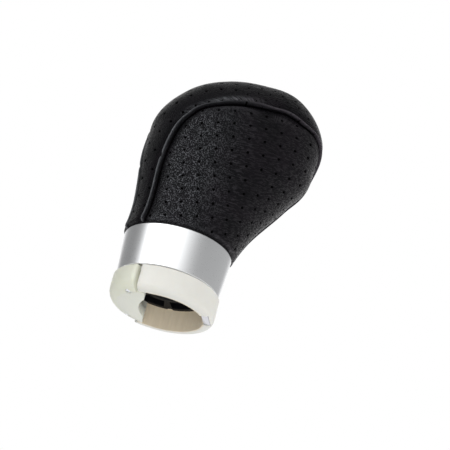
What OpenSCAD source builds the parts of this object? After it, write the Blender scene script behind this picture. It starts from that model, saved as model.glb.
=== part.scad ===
// Leather covered gear shift knob with a satin collar and a quarter-turn nylon lock.
// The lock's flat underside is z = 0, the lever's axis is Z, and the grip overhangs towards +X.
// Every dimension is in millimetres and every angle is in degrees.

/* [Lever socket] */
// Radius of the bore that slides over the shift lever
lever_r = 5; // [4.2:0.1:5.2]
// Height of the socket's lower face, the bore's mouth
mouth_z = 7.2; // [6.6:0.1:7.6]
// Length of the bore from its mouth to the rubber damper
bore_depth = 40; // [34:0.5:42]
// Chamfer at the bore's mouth
mouth_chamfer = 0.8; // [0.4:0.1:1.2]
// Outer radius of the socket's tube
tube_r = 8.2; // [7.6:0.1:8.6]
// Radius of the bearing flange that the lock turns on
flange_r = 14; // [13.6:0.1:14.4]
// Thickness of the bearing flange
flange_h = 3.1; // [2.8:0.1:3.6]
// Radius of the shoulder that carries the collar's liner
shoulder_r = 11.2; // [10.9:0.1:11.8]
// Thickness of the rubber damper at the bore's end
damper_t = 2.8; // [2:0.1:4]
// Thickness of the cap that closes the socket
cap_t = 1.4; // [1:0.1:2]
// Height of the first of the three rings that hold the tube in the foam
grip_ring_z = 37; // [35.5:0.5:38]
// Distance between these rings
grip_ring_pitch = 5; // [4:0.5:6]
// How far these rings stand out of the tube
grip_ring_proud = 1.2; // [0.6:0.1:2]
// Radius of the snap ring's wire
wire_r = 0.6; // [0.4:0.05:0.7]

/* [Lock] */
// Outer radius of the white lock ring and key
lock_r = 18.2; // [18:0.1:19]
// Inner radius of the lock ring's wall
lock_in = 14.6; // [14.5:0.1:15]
// Height of the lock's wall below the collar
lock_h = 8.8; // [8.4:0.1:10]
// Radius of the rounding under the lock ring
ring_round = 2; // [1:0.1:2.4]
// Radius of the rounding under the key
key_round = 4.2; // [3:0.1:4.4]
// Rounding of the key's upright edges along the slits
key_corner = 1.4; // [0.6:0.1:2]
// Direction of the key's middle
key_mid = 150; // [140:1:160]
// Angle that the key's outer wall covers
key_span = 112; // [100:1:120]
// Angle of the slit between the key and each end of the lock ring
slit_span = 6; // [4:0.5:8]
// Gap between the lever and the key's straight inner edge
key_clear = 0.6; // [0.4:0.1:1.5]
// Length of the recess in that edge, where the lever passes
recess_w = 15; // [10:0.5:16]
// Depth of this recess
recess_deep = 1.7; // [1:0.1:2.2]
// Thickness of the key's floor
key_floor = 3; // [2:0.1:4]
// Radius of the two steel dowels in the key
dowel_r = 0.6; // [0.5:0.05:0.65]
// Radius of the dowels' heads, which show in the key's underside
dowel_head_r = 1; // [0.8:0.1:1.2]
// Outer radius of the sleeve that rises into the collar
sleeve_r = 16.1; // [16:0.05:16.2]
// Thickness of the lip that hangs the lock on the socket's flange
lip_t = 0.9; // [0.7:0.1:1.2]
// Direction of the detent spring
detent_at = -40; // [-60:1:-20]
// Angle between the locked and the released position
lock_turn = 90; // [60:1:90]
// Width of the detent spring's steel strip
strip_w = 4; // [3:0.1:5]
// Width of the strip's foot, which shows in the lock's rim
strip_foot_w = 7.6; // [5:0.2:9]
// Thickness of the detent spring's steel strip
strip_t = 0.5; // [0.3:0.05:0.6]

/* [Collar] */
// Height of the collar's lower edge
collar_z = 9.15; // [9:0.05:10.2]
// Height of the collar's upper edge
collar_top = 23.9; // [22:0.1:28]
// Outer radius of the collar at its lower edge
collar_low_r = 17.5; // [17.4:0.1:18.2]
// Outer radius of the collar at its upper edge
collar_high_r = 18.6; // [18.4:0.1:19]
// Wall of the collar
collar_wall = 1; // [0.6:0.1:1]
// Bevel along the collar's two edges
collar_bevel = 0.35; // [0.1:0.05:0.5]
// Thickness of the ring that clamps the leather's lower edge
clamp_t = 0.6; // [0.4:0.1:1]
// Height of this ring's spigot inside the foam
clamp_spigot = 3.5; // [2:0.5:5]
// Thickness of the liner's floor
liner_floor = 1.5; // [1:0.1:2]

/* [Balance weight] */
// Outer radius of the balance weight
weight_r = 14.2; // [12:0.1:14.2]
// Height of the weight's upper end
weight_top = 34; // [30:0.5:35]

/* [Leather head] */
// Radius of the leather neck above the collar
neck_r = 19.1; // [18.9:0.1:20.2]
// Height of the widest section, where the crown begins
wide_z = 65; // [58:0.5:72]
// How far the neck draws in behind the lever, a little above the collar
neck_waist = 0.5; // [0.2:0.1:1]
// Reach of the widest section behind the lever's axis
grip_back = 20; // [18:0.2:24]
// Reach of the widest section in front of the lever's axis
grip_front = 40.2; // [34:0.2:46]
// Half of the head's width
grip_half = 23.2; // [20:0.2:26]
// Crown radius 30 degrees above the back of the widest section
crown_back = 27.7; // [25:0.1:31]
// Crown radius 60 degrees above the back
crown_shoulder = 26; // [23:0.1:29]
// Crown radius straight above the middle of the widest section
crown_mid = 27.7; // [25:0.1:31]
// Crown radius 60 degrees above the front
crown_front = 33.9; // [30:0.1:37]
// Crown radius 30 degrees above the front
crown_nose = 35.6; // [32:0.1:38]
// Squareness of the head's sections, where 2 is an ellipse
squareness = 2.25; // [2:0.05:2.6]
// Thickness of the leather
leather_t = 1.2; // [0.8:0.1:1.6]
// Angle from the middle of the centre band to its seams at the back of the neck
seam_neck = 17; // [14:1:24]
// The same angle on the crown, where the band is widest
seam_crown = 66.5; // [60:0.5:70]
// The same angle down the front, where the band is narrowest
seam_front = 9; // [8:1:20]
// Width of the rounded lip along the band's edges
lip_w = 1; // [0.8:0.1:1.3]
// Height of this lip
lip_proud = 0.45; // [0.2:0.05:0.7]
// Width of the deep part of the groove along the side panels' edges
groove_w = 1.3; // [1:0.1:1.6]
// Depth of this groove
groove_deep = 0.9; // [0.4:0.05:1]
// How far the leather's lower edge rolls in
roll_in = 0.5; // [0.3:0.1:0.7]

/* [Hidden] */
$fn = 96;
eps = 0.01;
fit = 0.1;
run_gap = 0.3;
seam_gap = 0.1;
foam_gap = 0.35;
cut = 3 * lock_r;

flange_top = mouth_z + flange_h;
bore_end = mouth_z + bore_depth;
damper_top = bore_end + damper_t;
cap_spigot = 2;
tube_top = damper_top + cap_spigot;
cap_top = tube_top + cap_t;
grip_ring_h = 1.2;
groove_z = bore_end - 4;
pocket_in = 7.2;
pocket_out = 12.4;
pocket_deep = 1.9;
pocket_count = 6;
pocket_span = 46;

sleeve_in = flange_r + fit;
lip_z = flange_top + run_gap;
lip_top = lip_z + lip_t;
lip_in = shoulder_r + 1.3;
sleeve_z = mouth_z + 0.4;
washer_t = 0.4;
washer_z = lip_top + fit;
liner_z = washer_z + washer_t;
ring_from = key_mid + key_span / 2 + slit_span;
ring_span = 360 - key_span - 2 * slit_span;
key_edge = lever_r + key_clear;
key_back_r = lock_in - fit;
key_back_wall = 1.9;
key_back_mid = key_back_r - key_back_wall / 2;
key_back_top = mouth_z - run_gap;
dowel_at = 43;
dowel_axis_r = (sleeve_in + sleeve_r) / 2 + 0.1;
dowel_top = lip_z - 0.6;
dowel_foot = 0.45;
dowel_head_h = 1.2;
recess_r = (recess_w * recess_w / 4 + recess_deep * recess_deep) / (2 * recess_deep);
relief_r = lock_in + 1.2;
relief_span = 24;
strip_r = flange_r + 0.6;
strip_foot = 2.3;
strip_z = 0.25;
nose_r = 1;
nose_axis_r = flange_r + 0.3;
nose_z = mouth_z + 1;
nose_h = 1.4;

collar_lip = 0.9;
liner_top = collar_top - collar_lip - 0.05;
weight_z = liner_z + liner_floor + 1.05;
screw_r = 0.9;
screw_head_r = 1.5;
screw_head_h = 0.9;
screw_tip = flange_top - 0.7;
screw_axis_r = (tube_r + shoulder_r) / 2;
neck_z = collar_top + clamp_t;
clamp_in = weight_r + 0.4;
clamp_r = collar_high_r - 0.4;
spigot_r = clamp_in + 1.6;

// Rows of the head's grid: up the back of the neck, over the crown and down the front.
roll_rows = [0, roll_in, 2.6 * roll_in];
neck_steps = 11;
crown_steps = 18;
neck_shares = concat([for (h = roll_rows) h / (wide_z - neck_z)],
    [for (i = [1:neck_steps]) i / neck_steps]);
neck_rows = len(neck_shares) - 1;
path = concat(neck_shares,
    [for (i = [1:crown_steps - 1]) 1 + i / crown_steps],
    [for (i = [neck_rows:-1:0]) 3 - neck_shares[i]]);
last_row = len(path) - 1;
mid_r = (neck_r + grip_half + (grip_back + grip_front) / 2) / 3;
side_steps = 6;
band_steps = 14;
side_near = [0, groove_w, 2.5 * groove_w];
side_dip = [groove_deep, 0.35 * groove_deep, 0];
band_near = [0, lip_w, 2.4 * lip_w];
band_dip = [lip_proud, -lip_proud, -0.2 * lip_proud];

function mix(a, b, t) = a + (b - a) * t;
function smooth(t) = t * t * (3 - 2 * t);

// Cubic through the points (xs, ys); the slope at a point is that of the chord round it.
function slope(i, xs, ys, flat) =
    let (n = len(xs) - 1)
    i == 0 ? (flat[0] ? 0 : (ys[1] - ys[0]) / (xs[1] - xs[0]))
    : i == n ? (flat[1] ? 0 : (ys[n] - ys[n - 1]) / (xs[n] - xs[n - 1]))
    : (ys[i + 1] - ys[i - 1]) / (xs[i + 1] - xs[i - 1]);
function spline(x, xs, ys, flat = [false, false]) =
    let (k = max([for (i = [0:len(xs) - 2]) if (i == 0 || x >= xs[i]) i]),
        h = xs[k + 1] - xs[k],
        t = (x - xs[k]) / h,
        m0 = slope(k, xs, ys, flat),
        m1 = slope(k + 1, xs, ys, flat))
    (2 * t * t * t - 3 * t * t + 1) * ys[k] + (t * t * t - 2 * t * t + t) * h * m0
    + (3 * t * t - 2 * t * t * t) * ys[k + 1] + (t * t * t - t * t) * h * m1;

function back_reach(s) = spline(s, [0, 0.25, 0.7, 1],
    [neck_r, neck_r - neck_waist, grip_back + neck_waist / 2, grip_back], [false, true]);
function front_reach(s) = spline(s, [0, 0.3, 0.7, 1],
    [neck_r, mix(neck_r, grip_front, 0.24), mix(neck_r, grip_front, 0.71), grip_front],
    [false, true]);
function half_width(s) = spline(s, [0, 0.48, 1],
    [neck_r, mix(neck_r, grip_half, 0.58), grip_half], [false, true]);
crown_start = (grip_back + grip_front) / 2;
function crown_radius(a) = spline(a, [0, 30, 60, 90, 120, 150, 180],
    [crown_start, crown_nose, crown_front, crown_mid, crown_shoulder, crown_back, crown_start],
    [true, true]);

// One section of the head: its middle, its outermost point in the XZ plane, half its width
// and its squareness. The path runs 0 to 1 up the back, 1 to 2 over the crown, 2 to 3 down the front.
function section(u) =
    let (s = u < 1 ? u : u > 2 ? 3 - u : 1,
        z = mix(neck_z, wide_z, s),
        middle = (front_reach(s) - back_reach(s)) / 2,
        a = 180 * (2 - u),
        on_crown = u > 1 && u < 2,
        r = on_crown ? crown_radius(a) : 0,
        edge = on_crown ? [middle + r * cos(a), z + r * sin(a)]
            : [u <= 1 ? -back_reach(s) : front_reach(s), z])
    [[middle, z], edge, half_width(s), mix(2, squareness, smooth(s))];

// A point of the head at path position u and angle psi from the XZ plane, inset from the surface.
function power(v, e) = sign(v) * pow(abs(v), e);
function head_point(u, psi, inset) =
    let (part = section(u),
        arm = part[1] - part[0],
        share = (norm(arm) - inset) / norm(arm) * power(cos(psi), 2 / part[3]))
    [part[0][0] + arm[0] * share, (part[2] - inset) * power(sin(psi), 2 / part[3]),
        part[0][1] + arm[1] * share];

// Angle of the seam from the XZ plane along the path.
function seam_angle(u) = spline(u, [0, 0.6, 0.85, 1, 1.1, 1.25, 1.53, 1.74, 1.84, 2, 2.2, 2.5, 3],
    [seam_neck, seam_neck, mix(seam_neck, seam_crown, 0.09), mix(seam_neck, seam_crown, 0.32),
        mix(seam_neck, seam_crown, 0.68), mix(seam_neck, seam_crown, 0.915), seam_crown,
        mix(seam_front, seam_crown, 0.9), mix(seam_front, seam_crown, 0.61),
        mix(seam_front, seam_crown, 0.09), seam_front, seam_front, seam_front]);

// The leather's lower edge rolls in over its first rows.
function edge_roll(row) =
    let (i = min(row, last_row - row)) i == 0 ? roll_in : i == 1 ? roll_in / 4 : 0;
function centre_row(row) = row <= neck_rows ? row
    : row >= last_row - neck_rows ? last_row - row : neck_rows;

// The lengths in side_near and band_near, as angles round the section.
function along(mm) = mm / mid_r * 180 / PI;
function side_angle(row, i) =
    let (from = seam_angle(path[row]) + along(seam_gap), near = len(side_near) - 1)
    i <= near ? from + along(side_near[i])
    : mix(from + along(side_near[near]), 90, (i - near) / (side_steps - near));
function band_angle(row, i) =
    let (half = band_steps / 2, side = i < half ? -1 : 1, j = i < half ? i : band_steps - i,
        near = len(band_near) - 1, edge = seam_angle(path[row]))
    side * (j <= near ? edge - along(band_near[j])
        : (edge - along(band_near[near])) * (1 - (j - near) / (half - near)));
function band_inset(i) =
    let (j = min(i, band_steps - i)) j < len(band_dip) ? band_dip[j] : 0;

// Triangles of a skin with thickness. ids holds the outer surface's point numbers, row by row,
// n is the count of outer points, and the inner surface repeats them in the same order.
function quad(a, b, c, d) =
    [if (a != b && b != c && a != c) [a, b, c], if (a != c && c != d && a != d) [a, c, d]];
function skin_faces(ids, n, both_edges) =
    let (rows = len(ids) - 1, cols = len(ids[0]) - 1) concat(
    [for (t = [0:rows - 1], i = [0:cols - 1])
        each quad(ids[t][i], ids[t][i + 1], ids[t + 1][i + 1], ids[t + 1][i])],
    [for (t = [0:rows - 1], i = [0:cols - 1])
        each quad(n + ids[t][i], n + ids[t + 1][i], n + ids[t + 1][i + 1], n + ids[t][i + 1])],
    [for (t = [0:rows - 1])
        each quad(ids[t][0], ids[t + 1][0], n + ids[t + 1][0], n + ids[t][0])],
    both_edges ? [for (t = [0:rows - 1]) each quad(ids[t + 1][cols], ids[t][cols],
        n + ids[t][cols], n + ids[t + 1][cols])] : [],
    [for (i = [0:cols - 1])
        each quad(ids[0][i + 1], ids[0][i], n + ids[0][i], n + ids[0][i + 1])],
    [for (i = [0:cols - 1])
        each quad(ids[rows][i], ids[rows][i + 1], n + ids[rows][i + 1], n + ids[rows][i])]);

// A side panel: rows from the seam to the ridge. The crown's rows share the ridge's top point.
module side_panel() {
    rows = [0:last_row];
    outer = concat(
        [for (t = rows, i = [0:side_steps - 1]) head_point(path[t], side_angle(t, i),
            max(edge_roll(t), i < len(side_dip) ? side_dip[i] : 0))],
        [for (t = [0:neck_rows]) head_point(path[t], 90, edge_roll(t))]);
    inner = concat(
        [for (t = rows, i = [0:side_steps - 1]) head_point(path[t], side_angle(t, i), leather_t)],
        [for (t = [0:neck_rows]) head_point(path[t], 90, leather_t)]);
    ids = [for (t = rows) concat([for (i = [0:side_steps - 1]) t * side_steps + i],
        [(last_row + 1) * side_steps + centre_row(t)])];
    polyhedron(concat(outer, inner), skin_faces(ids, len(outer), false));
}
module left_side_panel() {
    color("#202022") side_panel();
}
module right_side_panel() {
    color("#202022") mirror([0, 1, 0]) side_panel();
}
module centre_band() {
    rows = [0:last_row];
    cols = [0:band_steps];
    outer = [for (t = rows, i = cols)
        head_point(path[t], band_angle(t, i), max(edge_roll(t), band_inset(i)))];
    inner = [for (t = rows, i = cols) head_point(path[t], band_angle(t, i), leather_t)];
    ids = [for (t = rows) [for (i = cols) t * (band_steps + 1) + i]];
    color("#1c1c1e") polyhedron(concat(outer, inner), skin_faces(ids, len(outer), true));
}

// The foam's outer form, closed below by a flat face.
module foam_form(inset) {
    steps = 10;
    shares = [for (i = [0:8]) i / 8];
    foam_path = concat(shares, [for (i = [1:crown_steps - 1]) 1 + i / crown_steps],
        [for (i = [8:-1:0]) 3 - shares[i]]);
    last = len(foam_path) - 1;
    ridge = [for (t = [0:last]) t <= 8 ? t : t >= last - 8 ? last - t : 8];
    inside = steps - 1;
    points = concat(
        [for (t = [0:last], i = [1:inside])
            head_point(foam_path[t], -90 + 180 * i / steps, inset)],
        [for (t = [0:8]) head_point(foam_path[t], -90, inset)],
        [for (t = [0:8]) head_point(foam_path[t], 90, inset)],
        [[0, 0, neck_z]]);
    first = (last + 1) * inside;
    ids = [for (t = [0:last]) concat([first + ridge[t]],
        [for (i = [0:inside - 1]) t * inside + i], [first + 9 + ridge[t]])];
    base = len(points) - 1;
    polyhedron(points, concat(
        [for (t = [0:last - 1], i = [0:steps - 1])
            each quad(ids[t][i], ids[t][i + 1], ids[t + 1][i + 1], ids[t + 1][i])],
        [for (i = [0:steps - 1]) [ids[0][i + 1], ids[0][i], base]],
        [for (i = [0:steps - 1]) [ids[last][i], ids[last][i + 1], base]]));
}
module grip_rings(grow) {
    for (i = [0:2]) translate([0, 0, grip_ring_z + i * grip_ring_pitch - grow])
        cylinder(r = tube_r + grip_ring_proud + grow, h = grip_ring_h + 2 * grow);
}
module foam_body() {
    color("#5a5a52") difference() {
        foam_form(leather_t + foam_gap);
        translate([0, 0, neck_z - 1]) cylinder(r = spigot_r + fit, h = clamp_spigot + fit + 1);
        translate([0, 0, neck_z - 1]) cylinder(r = weight_r + fit, h = weight_top + fit - neck_z + 1);
        translate([0, 0, neck_z - 1]) cylinder(r = tube_r + fit, h = cap_top + fit - neck_z + 1);
        grip_rings(fit);
    }
}

// Socket: a bored tube with the bearing flange, a shoulder and pockets in its lower face.
module lever_socket() {
    color("#17171a") difference() {
        union() {
            translate([0, 0, mouth_z]) cylinder(r = flange_r, h = flange_h);
            translate([0, 0, mouth_z]) cylinder(r = shoulder_r, h = liner_z - mouth_z);
            translate([0, 0, mouth_z]) cylinder(r = tube_r, h = tube_top - mouth_z);
            grip_rings(0);
        }
        translate([0, 0, mouth_z - 1]) cylinder(r = lever_r, h = tube_top - mouth_z + 2);
        translate([0, 0, mouth_z - eps])
            cylinder(r1 = lever_r + mouth_chamfer, r2 = lever_r, h = mouth_chamfer + eps);
        translate([0, 0, groove_z - wire_r - fit])
            cylinder(r = lever_r + 2 * wire_r + 2 * fit, h = 2 * (wire_r + fit));
        for (i = [0:pocket_count - 1]) rotate([0, 0, i * 360 / pocket_count])
            rotate_extrude(angle = pocket_span) translate([pocket_in, mouth_z - 1])
                square([pocket_out - pocket_in, pocket_deep + 1]);
        for (a = [0, lock_turn]) rotate([0, 0, detent_at + a])
            translate([nose_axis_r, 0, mouth_z - 1]) cylinder(r = nose_r + 0.15, h = flange_h + 2);
        screw_places() translate([0, 0, screw_tip - fit])
            cylinder(r = screw_r + 0.05, h = liner_z - screw_tip + 1);
    }
}
module socket_cap() {
    color("#2a2a2c") union() {
        translate([0, 0, tube_top]) cylinder(r = tube_r, h = cap_t);
        translate([0, 0, damper_top]) cylinder(r = lever_r - fit, h = cap_spigot + eps);
    }
}
module lever_damper() {
    color("#3b3b3b") difference() {
        translate([0, 0, bore_end]) cylinder(r = lever_r - fit, h = damper_t);
        translate([0, 0, bore_end - 1]) cylinder(r = lever_r * 0.45, h = 1 + damper_t / 2);
    }
}
module lever_snap_ring() {
    color("#9a9ca0") rotate([0, 0, 35]) rotate_extrude(angle = 290)
        translate([lever_r + wire_r + 0.05, groove_z]) circle(r = wire_r, $fn = 32);
}
module balance_weight() {
    color("#8d8f94") rotate_extrude() polygon([
        [tube_r + fit, weight_z], [weight_r - 0.6, weight_z], [weight_r, weight_z + 0.6],
        [weight_r, weight_top - 1], [weight_r - 1, weight_top], [tube_r + fit, weight_top]]);
}

// Collar and the pieces inside it. The collar widens upwards and turns in at the top.
function collar_r(z) = mix(collar_low_r, collar_high_r, (z - collar_z) / (collar_top - collar_z));
module collar() {
    lip_low = collar_top - collar_lip;
    color("#c9ccd0") rotate_extrude($fn = 160) polygon([
        [collar_low_r - collar_wall, collar_z], [collar_low_r - collar_bevel, collar_z],
        [collar_r(collar_z + collar_bevel), collar_z + collar_bevel],
        [collar_r(collar_top - collar_bevel), collar_top - collar_bevel],
        [collar_high_r - collar_bevel, collar_top], [clamp_r - 1.4, collar_top],
        [clamp_r - 1.4, lip_low], [collar_r(lip_low) - collar_wall, lip_low]]);
}
module collar_liner() {
    low = liner_z;
    inner = weight_r + 0.2;
    color("#2c2c30") difference() {
        rotate_extrude() polygon([
            [tube_r + fit, low], [collar_r(low) - collar_wall - fit, low],
            [collar_r(liner_top) - collar_wall - fit, liner_top], [inner, liner_top],
            [inner, low + liner_floor], [tube_r + fit, low + liner_floor]]);
        screw_places() translate([0, 0, low - 1]) cylinder(r = screw_r + 0.05, h = liner_floor + 2);
    }
}
module screw_places() {
    for (a = [90:120:330]) rotate([0, 0, a]) translate([screw_axis_r, 0, 0]) children();
}
module liner_screws() {
    head_z = liner_z + liner_floor;
    color("#8f9297") screw_places() difference() {
        union() {
            translate([0, 0, screw_tip]) cylinder(r = screw_r, h = head_z - screw_tip);
            translate([0, 0, head_z]) cylinder(r = screw_head_r, h = screw_head_h);
        }
        translate([0, 0, head_z + 0.4]) for (a = [0, 90]) rotate([0, 0, a])
            translate([-0.9, -0.2, 0]) cube([1.8, 0.4, 1]);
    }
}
module leather_clamp_ring() {
    color("#141416") rotate_extrude() polygon([
        [clamp_in, collar_top], [clamp_r, collar_top], [clamp_r, neck_z], [spigot_r, neck_z],
        [spigot_r, neck_z + clamp_spigot], [clamp_in, neck_z + clamp_spigot]]);
}
module friction_washer() {
    color("#b9b2a0") translate([0, 0, washer_z]) difference() {
        cylinder(r = sleeve_r - 0.2, h = washer_t);
        translate([0, 0, -1]) cylinder(r = shoulder_r + fit, h = washer_t + 2);
    }
}

// Lock: a C-shaped ring and the key that fills its gap, which turn together round the flange.
function round_foot(r, f) = [for (i = [0:6]) [r - f + f * sin(15 * i), f - f * cos(15 * i)]];
module wall_section(r_in, foot, top) {
    polygon(concat([[r_in, 0]], round_foot(lock_r, foot),
        [[lock_r, lock_h - 0.3], [lock_r - 0.3, lock_h]], top));
}
module lock_ring() {
    color("#ece9dd") difference() {
        union() {
            rotate([0, 0, ring_from]) rotate_extrude(angle = ring_span)
                wall_section(lock_in, ring_round, [[lock_in, lock_h]]);
            rotate_extrude() polygon([
                [sleeve_in, sleeve_z], [sleeve_r, sleeve_z], [sleeve_r, lip_top],
                [lip_in, lip_top], [lip_in, lip_z], [sleeve_in, lip_z]]);
        }
        rotate([0, 0, ring_from]) translate([0, 0, -1]) linear_extrude(height = mouth_z + 1)
            polygon([[0, 0], relief_r * [cos(slit_span), -sin(slit_span)], [relief_r, 0],
                lock_in * [cos(relief_span), sin(relief_span)]]);
        dowel_places() translate([0, 0, sleeve_z - 1]) cylinder(r = dowel_r + 0.05,
            h = dowel_top - sleeve_z + 1 + fit);
        rotate([0, 0, detent_at]) {
            translate([sleeve_in - 1, -strip_w / 2 - fit, -1])
                cube([strip_r + strip_t + fit - sleeve_in + 1, strip_w + 2 * fit, nose_z + nose_h + 1.2]);
            translate([sleeve_in - 1, -strip_foot_w / 2 - fit, -1])
                cube([strip_r + strip_foot + fit - sleeve_in + 1, strip_foot_w + 2 * fit,
                    strip_z + strip_t + fit + 1]);
            translate([sleeve_in - 1, -nose_r - fit, nose_z - fit])
                cube([2.5, 2 * (nose_r + fit), nose_h + 2 * fit]);
        }
    }
}
module dowel_places() {
    for (s = [-1, 1]) rotate([0, 0, key_mid + s * dowel_at]) translate([dowel_axis_r, 0, 0])
        children();
}
module lock_key() {
    color("#e6e8d2") difference() {
        union() {
            rotate([0, 0, key_mid - key_span / 2]) rotate_extrude(angle = key_span)
                wall_section(key_back_mid, key_round, [
                    [sleeve_r + fit, lock_h], [sleeve_r + fit, sleeve_z - fit],
                    [flange_r + run_gap, sleeve_z - fit],
                    [flange_r + run_gap, key_back_top - 0.4], [key_back_mid, key_back_top - 0.4]]);
            intersection() {
                rotate_extrude() polygon([[0, 0], [key_back_r, 0], [key_back_r, key_back_top],
                    [key_back_r - key_back_wall, key_back_top],
                    [key_back_r - key_back_wall, key_floor], [0, key_floor]]);
                rotate([0, 0, key_mid]) translate([key_edge, -cut, -1]) cube([cut, 2 * cut, cut]);
            }
        }
        rotate([0, 0, key_mid]) translate([key_edge + recess_deep - recess_r, 0, -1])
            cylinder(r = recess_r, h = key_floor + 2);
        for (s = [0, 1]) rotate([0, 0, key_mid]) mirror([0, s, 0])
            rotate([0, 0, -key_span / 2]) translate([lock_r - key_corner, 0, -1]) difference() {
                translate([0, -1, 0]) cube([key_corner + 2, key_corner + 1, lock_h + 2]);
                translate([0, key_corner - eps, -1]) cylinder(r = key_corner, h = lock_h + 4);
            }
        dowel_places() translate([0, 0, -1]) cylinder(r = dowel_r + 0.05, h = sleeve_z + 1);
        dowel_places() translate([0, 0, -1])
            cylinder(r = dowel_head_r + 0.05, h = dowel_foot + dowel_head_h + fit + 1);
    }
}
module key_dowels() {
    color("#b5b8bd") dowel_places() translate([0, 0, dowel_foot]) {
        cylinder(r = dowel_r, h = dowel_top - dowel_foot);
        cylinder(r = dowel_head_r, h = dowel_head_h);
    }
}
module detent_spring() {
    color("#c4c7cc") rotate([0, 0, detent_at]) {
        translate([strip_r, -strip_foot_w / 2, strip_z]) cube([strip_foot, strip_foot_w, strip_t]);
        translate([strip_r, -strip_w / 2, strip_z])
            cube([strip_t, strip_w, nose_z + nose_h - strip_z]);
        translate([nose_axis_r, 0, nose_z]) cylinder(r = nose_r, h = nose_h);
    }
}

right_side_panel();
left_side_panel();
centre_band();
foam_body();
lever_socket();
socket_cap();
lever_damper();
lever_snap_ring();
balance_weight();
leather_clamp_ring();
collar();
collar_liner();
liner_screws();
friction_washer();
lock_ring();
lock_key();
key_dowels();
detent_spring();
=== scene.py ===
# %% [markdown]
# # A leather covered gear shift knob
# This lesson dresses a shift knob that was drawn in CAD. The CAD model is the fixed frame: every
# piece below is placed by its numbers, in metres, with the lever's axis on Z and the nose of the
# head towards +X. Blender adds what the eye looks for in a good knob: perforated leather with a
# turned seam, a satin collar and a moulded nylon lock.

# %% Load the frame
import math

import bmesh
import bpy
import numpy as np
from mathutils import Matrix, Vector


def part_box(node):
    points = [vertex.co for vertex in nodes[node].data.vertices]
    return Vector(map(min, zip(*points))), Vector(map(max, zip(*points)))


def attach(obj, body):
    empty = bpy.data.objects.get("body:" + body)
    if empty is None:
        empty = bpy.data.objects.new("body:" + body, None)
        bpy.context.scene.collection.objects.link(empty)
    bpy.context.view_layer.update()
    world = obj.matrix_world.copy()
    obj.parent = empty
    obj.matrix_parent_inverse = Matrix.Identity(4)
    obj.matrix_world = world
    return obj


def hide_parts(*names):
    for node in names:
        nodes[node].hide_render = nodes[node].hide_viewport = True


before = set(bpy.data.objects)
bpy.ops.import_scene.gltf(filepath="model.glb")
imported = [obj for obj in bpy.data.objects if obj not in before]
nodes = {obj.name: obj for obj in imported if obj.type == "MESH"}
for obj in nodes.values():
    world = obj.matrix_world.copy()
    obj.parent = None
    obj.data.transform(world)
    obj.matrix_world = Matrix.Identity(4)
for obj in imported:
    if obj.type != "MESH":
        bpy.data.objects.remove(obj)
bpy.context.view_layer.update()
MM = 0.001

# %% [markdown]
# ## The few sizes that the skins follow
# The head is a lofted body. Its section is an oval that grows and leans forward from the neck to
# the widest height, and a crown closes it above. The same few sizes drove the CAD skins, so the
# new skins lie where those lay. The overall ones are read from the frame's boxes, which keeps both
# models together.

# %% Sizes of the head, in millimetres
collar_low, collar_high = (np.array(c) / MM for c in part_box("collar"))
side_low, side_high = (np.array(c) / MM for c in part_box("left_side_panel"))
band_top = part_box("centre_band")[1][2] / MM

leather_t = 1.2
neck_r = collar_high[0] + 0.5
neck_z = side_low[2]
neck_waist = 0.5
wide_z = neck_z + 40.5
grip_back, grip_front = 20.0, 40.2
grip_half = side_high[1]
crown_radii = [35.6, 33.9, 27.7, 26.0, 27.7]
squareness = 2.25
seam_neck, seam_crown, seam_front = 17.0, 66.5, 9.0
print("neck radius %.1f, neck %.1f, widest height %.1f, half width %.1f"
      % (neck_r, neck_z, wide_z, grip_half))


# %% [markdown]
# ## A cubic through a few points
# A designer gives a curve by a few points and wants it smooth between them. The cubic below leaves
# each point with the slope of the chord round it, which is the rule that the CAD source uses too.
# It works on whole arrays, so one call bends a whole grid.

# %% Helpers for smooth numbers
def mix(a, b, t):
    """a plus a share t of the way to b."""
    return a + (b - a) * t


def smooth(t):
    """Eases a share from 0 to 1: three times its square less twice its cube."""
    t = np.clip(t, 0, 1)
    return t * t * (3 - 2 * t)


def bump_at(x, middle, width):
    """A bell: one at middle, falling as the exponential of the squared distance in widths."""
    return np.exp(-((x - middle) / width) ** 2)


def spline(x, xs, ys, flat=(False, False)):
    """Cubic through (xs, ys). At a point the slope is that of the chord between its neighbours; at
    an end it is the end chord's slope, or zero where flat says so."""
    xs, ys = np.asarray(xs, float), np.asarray(ys, float)
    slope = np.empty_like(ys)
    slope[1:-1] = (ys[2:] - ys[:-2]) / (xs[2:] - xs[:-2])
    slope[0] = 0 if flat[0] else (ys[1] - ys[0]) / (xs[1] - xs[0])
    slope[-1] = 0 if flat[1] else (ys[-1] - ys[-2]) / (xs[-1] - xs[-2])
    k = np.clip(np.searchsorted(xs, x, side="right") - 1, 0, len(xs) - 2)
    h = xs[k + 1] - xs[k]
    t = (x - xs[k]) / h
    rise = (3 * t**2 - 2 * t**3) * (ys[k + 1] - ys[k])
    return ys[k] + rise + h * ((t**3 - 2 * t**2 + t) * slope[k] + (t**3 - t**2) * slope[k + 1])


# %% [markdown]
# ## The head as a surface of two parameters
# The first parameter u walks round the middle of the head: 0 to 1 up the back of the neck, 1 to 2
# over the crown and 2 to 3 down the front. The second, psi, turns from the middle plane (0) to the
# side (90 degrees). An oval with an exponent a little over 2 gives the slightly squared section
# that a hand feels as flat sides.

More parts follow.
